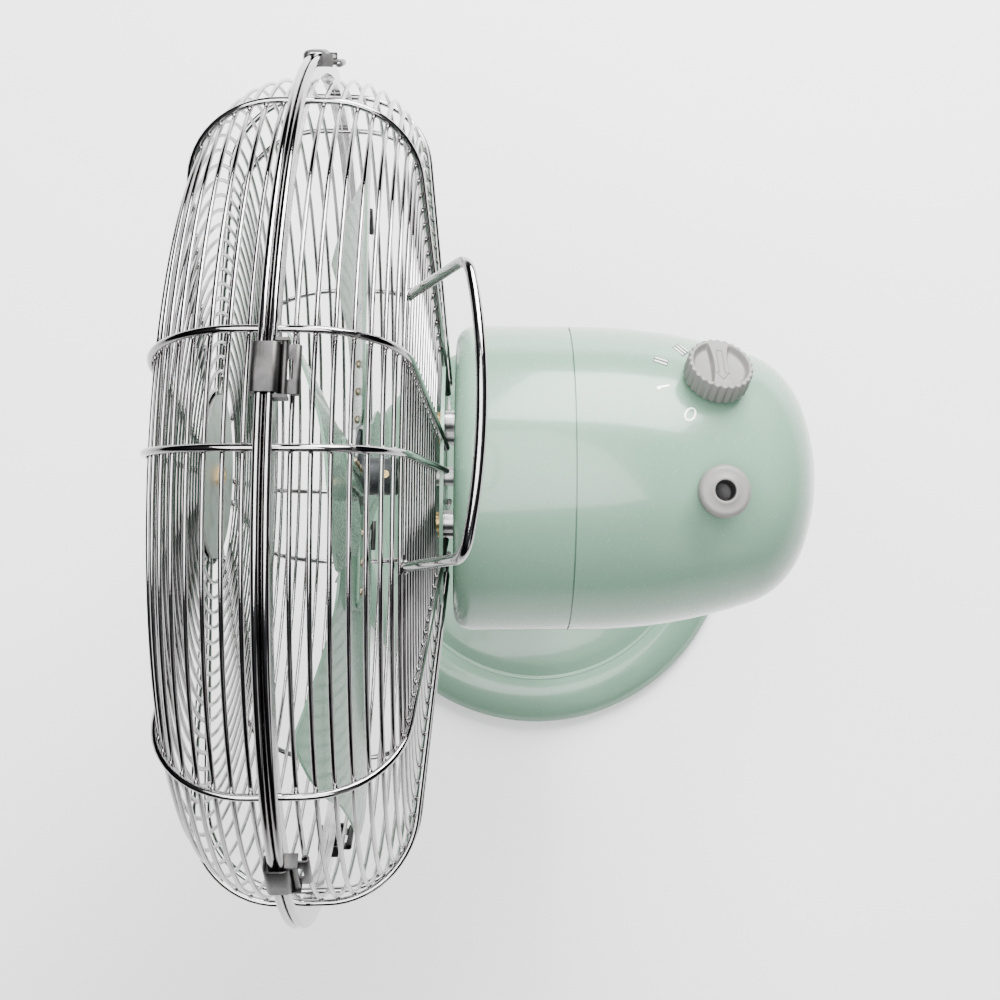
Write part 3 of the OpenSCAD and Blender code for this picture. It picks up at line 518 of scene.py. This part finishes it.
def carry_handle(chrome):
    """Bent wire bow: its feet stand on one ring of the rear corner, its grip bows up and back."""
    wire, turn, foot_x, foot_ring, sink = 0.0017, 0.9, 0.0453, 7, 0.0012
    top, reach, corner, bow = 0.191, 0.0232, 0.0105, 26
    out = REAR_BEND + WIRE + wire - SUNK
    t = (WALL_START + FIRST_RING + foot_ring * RING_GAP - REAR_SIDE) / REAR_BEND
    foot_y = REAR_SIDE + out * math.sin(t)
    foot_r = math.sqrt((RING_R - REAR_BEND + out * math.cos(t)) ** 2 - foot_x ** 2)
    rise = top - foot_r
    lean = math.atan(rise / reach)
    half_grip = foot_x - corner
    c, n = math.cos(math.radians(bow)), math.sin(math.radians(bow))
    grip_r = (half_grip + corner * n) / n
    leg = rise / math.sin(lean) - corner * c - grip_r * (1 - c)
    half = [(foot_x, -sink), (foot_x, leg / 2)] + arc(half_grip, leg, corner, 0, 90 - bow, 8)
    half += arc(0, leg + corner * c - grip_r * c, grip_r, 90 - bow + 4, 90, 8)
    flat = half + [(-x, y) for x, y in reversed(half[:-1])]
    mesh = Mesh()
    mesh.tube([around(turn, x, RIM_Y + foot_y + y * math.cos(lean), foot_r + y * math.sin(lean))
               for x, y in flat], wire, 20)
    for x in (foot_x, -foot_x):
        weld = around(turn, x, RIM_Y + foot_y - sink / 2, foot_r - sink)
        mesh.bead(weld, Vector((0.0024, 0, 0)), Vector((0, 0.0013, 0)), Vector((0, 0, 0.0013)), 16, 10)
    mesh.piece("carry_handle_wire", "head", chrome, "chrome_wire", ["carry_handle"], sharp=60)


# ---- clips over the rims ------------------------------------------------------------------------

def clip_section():
    """Middle line of a clip's strip, from its front hook over both rims to the lever's rolled edge."""
    front, back, bend, roll = -0.0042, 0.0100, 0.0018, 0.0010
    over = RIM_R - 0.0010
    line = [(front, RIM_R - 0.0052), (front, RIM_R - 0.003)]
    line += arc(front + bend, over, bend, 180, 90, 6)
    line += arc(0.0020, over, bend, 90, 10, 6)
    line += arc(0.0052, RIM_R - 0.0016, 0.0014, 190, 262, 4)
    line += [(back - 0.0012, RIM_R - 0.0028)]
    line += arc(back - roll, RIM_R - 0.0038, roll, 80, -170, 10)
    return line


def offset_sides(line, thick):
    """Points to both sides of a line, at right angles to it."""
    outer, inner = [], []
    for i, (y, r) in enumerate(line):
        before = line[max(i - 1, 0)]
        after = line[min(i + 1, len(line) - 1)]
        length = math.dist(before, after)
        out_y, out_r = (before[1] - after[1]) / length, (after[0] - before[0]) / length
        outer.append((y + out_y * thick, r + out_r * thick))
        inner.append((y - out_y * thick, r - out_r * thick))
    return outer, inner


def rim_clip(number, finish):
    """Bent strip over both rims, with a slotted lever at the rear that ends in a rolled edge."""
    turn = CLIP_TURN + 360 / CLIPS * (number - 1)
    half, half_thick, edge, thinned = 0.0078, 0.0004, 0.0002, 0.7
    line = clip_section()
    outer, inner = offset_sides(line, half_thick)
    loop = outer + list(reversed(inner))
    middle = line + list(reversed(line))
    rows = []
    for x, k in ((-half, thinned), (edge - half, 1), (half - edge, 1), (half, thinned)):
        rows.append([around(turn, x, RIM_Y + my + (y - my) * k, mr + (r - mr) * k)
                     for (y, r), (my, mr) in zip(loop, middle)])
    mesh = Mesh()
    start = mesh.grid(rows, close_columns=True)
    n = len(loop)
    for first, flip in ((start, False), (start + 3 * n, True)):
        for i in range(len(line) - 1):
            quad = (first + i, first + i + 1, first + n - 2 - i, first + n - 1 - i)
            mesh.faces.append(quad if flip else tuple(reversed(quad)))
    name = f"clip_{number}"
    clip = mesh.piece("rim_" + name, name, finish, "clip_steel", [name], sharp=35)
    slot = Mesh()
    slot_half, slot_y, slot_r = 0.0032, (0.0062, 0.0080), (RIM_R - 0.0045, RIM_R + 0.001)
    box = [(x, y, r) for x in (-slot_half, slot_half) for y in slot_y for r in slot_r]
    slot.points = [around(turn, x, RIM_Y + y, r) for x, y, r in box]
    slot.faces = [(0, 1, 3, 2), (4, 6, 7, 5), (0, 4, 5, 1), (2, 3, 7, 6), (0, 2, 6, 4), (1, 5, 7, 3)]
    cut_with(clip, slot)


def cut_with(thing, cutter):
    """Cuts a closed shape out of a piece, and applies the cut."""
    mesh = bpy.data.meshes.new("cutter")
    mesh.from_pydata([tuple(p) for p in cutter.points], [], cutter.faces)
    work = bmesh.new()
    work.from_mesh(mesh)
    bmesh.ops.recalc_face_normals(work, faces=work.faces)
    work.to_mesh(mesh)
    work.free()
    tool = bpy.data.objects.new("cutter", mesh)
    bpy.context.scene.collection.objects.link(tool)
    cut = thing.modifiers.new("cut", "BOOLEAN")
    cut.operation = "DIFFERENCE"
    cut.solver = "EXACT"
    cut.object = tool
    bpy.context.view_layer.update()
    graph = bpy.context.evaluated_depsgraph_get()
    result = bpy.data.meshes.new_from_object(thing.evaluated_get(graph))
    thing.modifiers.clear()
    thing.data = result
    bpy.data.objects.remove(tool)


# ---- blades' hub, arms and rivets ---------------------------------------------------------------

def on_blade(number, x, y, z):
    """Point on a blade's own slanted frame: x across the blade, z out from the shaft."""
    a = math.radians(PITCH)
    return around(360 / BLADES * number, x * math.cos(a) - y * math.sin(a),
                  HUB_Y + ARM_HALF + x * math.sin(a) + y * math.cos(a), z)


def slab(mesh, outline, low, high, place, bevel=0.0002):
    """A flat piece with the given outline, from low to high, its edges bevelled."""
    cx = sum(p[0] for p in outline) / len(outline)
    cy = sum(p[1] for p in outline) / len(outline)
    rows = []
    for inset, h in ((bevel, low), (0, low + bevel), (0, high - bevel), (bevel, high)):
        row = []
        for x, y in outline:
            away = math.hypot(x - cx, y - cy)
            k = 1 - inset / away
            row.append(place(cx + (x - cx) * k, cy + (y - cy) * k, h))
        rows.append(row)
    start = mesh.grid(rows, close_columns=True)
    mesh.cap(start, len(outline))
    mesh.cap(start + 3 * len(outline), len(outline), flip=True)


def hub_and_arms(hub_finish, arm_finish, rivet_finish):
    """Turned boss, an arm with a stiffening rib to each blade, and three rivets through both."""
    mesh = Mesh()
    bore, boss, flange, edge = 0.004, 0.008, 0.020, 0.0003
    outline = [(bore, 0), (flange - edge, 0), (flange, edge), (flange, 0.0016 - edge),
               (flange - edge, 0.0016), (0.0092, 0.0016), (0.0083, 0.0020), (boss, 0.0028),
               (boss, 0.0164), (0.0074, 0.017), (bore, 0.017)]
    mesh.turned(outline, on_shaft(HUB_Y), 72)
    mesh.piece("blade_hub_boss", "rotor", hub_finish, "hub_steel", ["blade_hub"])
    arms, rivets = Mesh(), Mesh()
    arm = [(-0.010, 0.012), (0.010, 0.012), (0.010, 0.052)]
    arm += arc(0.006, 0.052, 0.004, 0, 90, 5)[1:] + arc(-0.006, 0.052, 0.004, 90, 180, 5)
    rib = [(-0.0032, 0.016)] + arc(0, 0.0515, 0.0032, 180, 0, 8) + [(0.0032, 0.016)]
    for number in range(BLADES):
        slab(arms, arm, -ARM_HALF, ARM_HALF, lambda x, z, y: on_blade(number, x, y, z))
        slab(arms, rib, 0.0006, 0.0021, lambda x, z, y: on_blade(number, x, y, z), 0.0008)
        for z in (0.024, 0.036, 0.048):
            rivet_head(rivets, number, z, -0.0018, -1)
            rivet_head(rivets, number, z, 0.0020, 1)
    arms.piece("blade_arms", "rotor", arm_finish, "sage_paint", ["blade_hub"])
    rivets.piece("blade_rivet_heads", "rotor", rivet_finish, "zinc_steel", ["blade_rivets"])


def rivet_head(mesh, number, z, y, facing):
    """A domed head, dimpled in the middle, that stands on the blade and is closed inside it."""
    outline = [(0.0001, 0.0007), (0.0006, 0.0007), (0.0009, 0.0011), (0.0014, 0.0010), (0.0018, 0.0005),
               (0.0019, 0), (0.0018, -0.0012), (0, -0.0012)]
    rows, steps = [], 20
    for k in range(steps):
        a = 2 * math.pi * k / steps
        rows.append([on_blade(number, r * math.cos(a), y + facing * h, z + r * math.sin(a))
                     for r, h in outline])
    mesh.grid(rows, close_rows=True)


# ---- figures on the housing ---------------------------------------------------------------------

def dome_radius(y):
    """Radius of the housing's rear dome, whose outline is an arc."""
    arc_r, arc_y, arc_depth = 0.232, 0.006, 0.168
    return math.sqrt(arc_r ** 2 - (y - arc_y) ** 2) - arc_depth


def on_dome(x, y, lift):
    r = dome_radius(y)
    k = (r + lift) / r
    return Vector((x * k, y, SHAFT_H + math.sqrt(r * r - x * x) * k))


def stroke(mesh, dial_x, dial_y, turn, ends, half, lift):
    """A thin raised bar on the dome; its two ends are given in the figure's own frame."""
    c, s = math.cos(math.radians(turn)), math.sin(math.radians(turn))
    (x0, y0), (x1, y1) = ends
    length = math.dist(*ends)
    wide_x, wide_y = (x1 - x0) / length * half, (y1 - y0) / length * half
    outline = [(x0 - wide_y, y0 + wide_x), (x0 + wide_y, y0 - wide_x)]
    outline += [(x1 + wide_y, y1 - wide_x), (x1 - wide_y, y1 + wide_x)]

    def place(x, y, h):
        return on_dome(dial_x + x * c - y * s, dial_y + x * s + y * c, h)

    slab(mesh, outline, -0.0004, lift, place, 0.00005)


def dial_marks(silver, outline_finish):
    """0, 1, II and III beside the speed knob; the last two have a dark edge line."""
    light, dark = Mesh(), Mesh()
    tall, half, gap, edge = 0.0026, 0.00036, 0.0016, 0.0003
    knob_x = -0.0345
    figures = ((-0.0184, 0.0430, 0), (-0.0299, 0.0330, 1), (-0.0418, 0.0335, 2), (-0.0484, 0.0432, 3))
    for x, y, bars in figures:
        turn = math.degrees(math.atan2(y - KNOB_Y, x - knob_x)) + 90
        if bars == 0:
            angles = [k * math.pi / 6 for k in range(13)]
            oval = [(0.0019 * math.cos(a), tall * math.sin(a) * 1.08) for a in angles]
            for ends in zip(oval, oval[1:]):
                stroke(light, x, y, turn, ends, half, 0.00016)
        for k in range(bars):
            at = (k - (bars - 1) / 2) * gap
            stroke(light, x, y, turn, ((at, -tall), (at, tall)), half, 0.00018)
            if bars > 1:
                ends = ((at, -tall - edge), (at, tall + edge))
                stroke(dark, x, y, turn, ends, half + 0.00034, 0.0001)
        if bars == 1:
            stroke(light, x, y, turn, ((0, -tall), (0.0009, 0.001 - tall)), half, 0.00017)
    light.piece("dial_figures", "head", silver, "chrome_wire")
    dark.piece("dial_figure_edges", "head", outline_finish, "dark_plastic")


# ---- knobs --------------------------------------------------------------------------------------

def on_speed_knob(x, y, z):
    """Point in the speed knob's own frame, whose Z is the knob's axis."""
    r = dome_radius(KNOB_Y)
    lean, slope = math.radians(33), math.radians(8)
    foot = Vector((-r * math.sin(lean), KNOB_Y, SHAFT_H + r * math.cos(lean)))
    return foot + Matrix.Rotation(-lean, 3, "Y") @ Matrix.Rotation(-slope, 3, "X") @ Vector((x, y, z))


def smooth(value, low, high):
    """0 below low, 1 above high, smooth in between."""
    t = min(max((value - low) / (high - low), 0.0), 1.0)
    return t * t * (3 - 2 * t)


def speed_knob_face(x, y):
    """Height of the knob's top: a dish with a waisted grip bar left standing across it."""
    deepest, bowl, half_waist, flare, wall, bar_drop = 0.0030, 6.0, 0.0027, 11.0, 0.0009, 0.0003
    inside = 1 - smooth(math.hypot(x, y), 0.0102, 0.0116)
    bar = 1 - smooth(abs(y) - half_waist - flare * x * x, 0.0, wall)
    dish = deepest - bowl * (x * x + y * y)
    return SPEED_KNOB_TOP - dish * inside * (1 - bar) - bar_drop * inside


def speed_knob_body(finish):
    """Fluted knob with a dished top, and its stem into the housing."""
    flutes, deep, outer_r, face_r, stem_r = 26, 0.00075, 0.0133, 0.0123, 0.0032
    steps, rings, middle = 312, 33, 0.0001
    mesh, rows = Mesh(), []
    for k in range(steps):
        a = 2 * math.pi * k / steps
        side = outer_r - deep * (0.5 - 0.5 * math.cos(flutes * a)) ** 1.4
        row = []
        for i in range(rings + 1):
            r = middle + (face_r - middle) * i / rings
            x, y = r * math.cos(a), r * math.sin(a)
            row.append(on_speed_knob(x, y, speed_knob_face(x, y)))
        outline = [(side - 0.0006, SPEED_KNOB_TOP), (side - 0.0002, 0.0119), (side, 0.0115),
                   (side + 0.0001, 0.0034), (side - 0.0004, 0.0027), (0.0045, 0.0026),
                   (stem_r, 0.0022), (stem_r, -0.0060), (middle, -0.0060)]
        row += [on_speed_knob(r * math.cos(a), r * math.sin(a), h) for r, h in outline]
        rows.append(row)
    mesh.grid(rows, close_rows=True)
    mesh.piece("speed_knob_body", "speed_knob", finish, "light_plastic", ["speed_knob"], sharp=50)


def speed_knob_arrow(finish):
    """Raised outline of an arrow along the grip bar."""
    tip, neck, tail, half_head, half_shaft = 0.0082, 0.0046, -0.0074, 0.0026, 0.0012
    half = [(tail, half_shaft), (neck, half_shaft), (neck, half_head)]
    shape = half + [(tip, 0)] + [(x, -y) for x, y in reversed(half)]
    corners = [on_speed_knob(x, y, SPEED_KNOB_TOP - 0.0003) for x, y in shape]
    steps, path = 4, []
    for a, b in zip(corners, corners[1:] + corners[:1]):
        path += [a.lerp(b, k / steps) for k in range(steps)]
    mesh = Mesh()
    mesh.tube(path, 0.00032, 8, closed=True)
    mesh.piece("speed_knob_arrow", "speed_knob", finish, "light_plastic")


def swing_knob_low():
    """Height of the swing knob's underside above the shaft: its travel above the dome."""
    travel = 0.0045
    dome = dome_radius(KNOB_Y - SWING_KNOB_R)
    return math.sqrt(dome ** 2 - (SWING_KNOB_X - SWING_KNOB_R) ** 2) + travel


def on_swing_knob():
    """Placing matrix on the swing knob's axis, at its underside."""
    return Matrix.Translation((SWING_KNOB_X, KNOB_Y, SHAFT_H + swing_knob_low()))


def swing_knob_body(finish):
    """Round push knob with a deep bore, a low ridge round it, and a stem into the housing."""
    axis, stem_r = 0.0001, 0.0050
    seat = math.sqrt(dome_radius(KNOB_Y) ** 2 - SWING_KNOB_X ** 2)
    foot = seat - 0.012 - swing_knob_low()
    outline = [(axis, -0.0040), (0.0038, -0.0040), (0.0041, -0.0037), (0.0041, 0.0052),
               (0.0043, 0.0054), (0.0050, 0.0054), (0.0053, 0.0051)]
    outline += arc(0.0078, 0.0026, 0.0024, 88, 0, 8) + [(SWING_KNOB_R, 0.0008), (0.0094, 0)]
    outline += [(stem_r, 0), (stem_r, foot), (axis, foot)]
    mesh = Mesh()
    mesh.turned(outline, on_swing_knob(), 96, closed=False)
    mesh.piece("swing_knob_body", "swing_knob", finish, "light_plastic", ["swing_knob"], sharp=50)


def swing_knob_lining(finish):
    """Dark sleeve inside the knob's bore."""
    axis = 0.0001
    outline = [(axis, -0.0034), (0.0034, -0.0034), (0.0037, -0.0031), (0.0038, 0.0046),
               (0.00405, 0.0048), (0.00405, -0.0037), (axis, -0.0037)]
    mesh = Mesh()
    mesh.turned(outline, on_swing_knob(), 72, closed=False)
    mesh.piece("swing_knob_lining", "swing_knob", finish, "dark_plastic", sharp=50)


# ---- CAD nodes ----------------------------------------------------------------------------------

def dress(names, finish):
    """Gives CAD nodes a finish and soft shading across their curved faces."""
    same_point, sharp = 0.00001, math.radians(28)
    for name in names.split():
        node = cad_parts[name]
        node.data.materials.clear()
        node.data.materials.append(finish)
        weld = node.modifiers.new("weld", "WELD")
        weld.merge_threshold = same_point
        for face in node.data.polygons:
            face.use_smooth = True
        split = node.modifiers.new("edges", "EDGE_SPLIT")
        split.split_angle = sharp


# ---- room ---------------------------------------------------------------------------------------

def floor():
    """White paper that the fan stands on."""
    bpy.ops.mesh.primitive_plane_add(size=6, location=(0, 0, -0.0002))
    ground = bpy.context.object
    ground.name = "floor"
    f = Finish("floor_paper", Roughness=0.9, Specular_IOR_Level=0.1)
    f.feed("Base Color", f.mix(f.noise(3.0), rgb(0.93, 0.93, 0.93), rgb(0.95, 0.95, 0.95)))
    ground.data.materials.append(f.material)


def lamp(name, place, towards, width, height, power):
    """A rectangular light at a place, facing a point."""
    light = bpy.data.lights.new(name, "AREA")
    light.shape = "RECTANGLE"
    light.size, light.size_y = width, height
    light.energy = power
    thing = bpy.data.objects.new(name, light)
    bpy.context.scene.collection.objects.link(thing)
    thing.location = place
    thing.rotation_mode = "QUATERNION"
    thing.rotation_quaternion = (Vector(towards) - Vector(place)).to_track_quat("-Z", "Y")


def lights():
    """Window and overhead lamps, a weak fill, and a sky that brightens towards the top."""
    lamp("window", (-1.2, 0.35, 1.15), (0, 0, 0.25), 0.9, 1.2, 104)
    lamp("overhead", (0.1, -0.3, 1.9), (0, 0, 0.2), 1.7, 1.3, 66)
    lamp("fill", (1.3, 0.7, 0.9), (0, 0, 0.25), 0.5, 0.8, 1)
    world = bpy.data.worlds.new("room")
    world.use_nodes = True
    bpy.context.scene.world = world
    tree = world.node_tree
    sky = tree.nodes["Background"]
    sky.inputs["Strength"].default_value = 0.35
    place = tree.nodes.new("ShaderNodeTexCoord")
    axes = tree.nodes.new("ShaderNodeSeparateXYZ")
    ramp = tree.nodes.new("ShaderNodeValToRGB")
    Finish.fill_ramp(ramp.color_ramp, ((0.0, rgb(0.03, 0.03, 0.03)), (0.38, rgb(0.03, 0.03, 0.04)),
                                       (0.70, rgb(0.22, 0.23, 0.24)), (0.95, rgb(0.95, 0.97, 1.0))))
    tree.links.new(place.outputs["Generated"], axes.inputs["Vector"])
    tree.links.new(axes.outputs["Z"], ramp.inputs["Fac"])
    tree.links.new(ramp.outputs["Color"], sky.inputs["Color"])


def camera():
    """Looks almost straight down on the fan; the shift sets the fan off the middle of the view."""
    data = bpy.data.cameras.new("camera")
    data.sensor_width = 36.0
    data.lens = 49.47
    data.shift_x = -0.0847
    data.shift_y = -0.1675
    data.clip_start = 0.01
    thing = bpy.data.objects.new("camera", data)
    bpy.context.scene.collection.objects.link(thing)
    place = Matrix.Translation((0.06095, -0.04133, 0.87597))
    angles = Euler([math.radians(a) for a in (11.93445, -4.58857, 89.62580)])
    thing.matrix_world = place @ angles.to_matrix().to_4x4()
    bpy.context.scene.camera = thing


# ---- the fan ------------------------------------------------------------------------------------

def main():
    camera()
    lights()
    floor()
    sage, chrome = sage_enamel(), bright_chrome()
    steel, clips, plastic = bare_steel(), clip_steel(), knob_plastic()
    dress("base_shell column tilt_knuckle front_housing rear_housing seam_band guard_plate", sage)
    dress("blade_1 blade_2 blade_3 blade_4", sage)
    dress("base_plate column_nut tilt_bolt swing_arm stator_bolts guard_spacers badge_back", steel)
    dress("motor_shaft crank swing_link knob_rod", steel)
    dress("front_rim rear_rim front_badge", chrome)
    dress("tilt_nut", plastic)
    dress("base_pad", moulded("pad_rubber", (0.02, 0.02, 0.02), (0.04, 0.04, 0.04), 0.7))
    black = moulded("dark_plastic", (0.012, 0.012, 0.013), (0.03, 0.028, 0.028), 0.45)
    dress("cord_inlet speed_switch", black)
    dress("gear_wheel run_capacitor", moulded("nylon", (0.60, 0.58, 0.50), (0.70, 0.68, 0.60), 0.4))
    dress("base_weight", cast_metal("iron_weight", 0.16, 0.6))
    dress("motor_bracket front_bell rear_bell gear_case", cast_metal("die_cast", 0.52, 0.4))
    dress("stator_core rotor_core", sheet_stack())
    dress("stator_coils", copper_winding())
    dress("shaft_bushes worm", brass("bronze", (0.55, 0.36, 0.14)))
    dress("guard_screws badge_screw hub_screw", brass())
    dress("clip_pins", clips)
    guards(chrome)
    carry_handle(chrome)
    for number in range(1, CLIPS + 1):
        rim_clip(number, clips)
    hub_and_arms(hub_steel(), sage, brass("rivet_brass", (0.34, 0.29, 0.20)))
    dial_marks(dial_silver(), dial_outline())
    speed_knob_body(plastic)
    swing_knob_body(plastic)
    swing_knob_lining(black)
    speed_knob_arrow(plastic)


main()
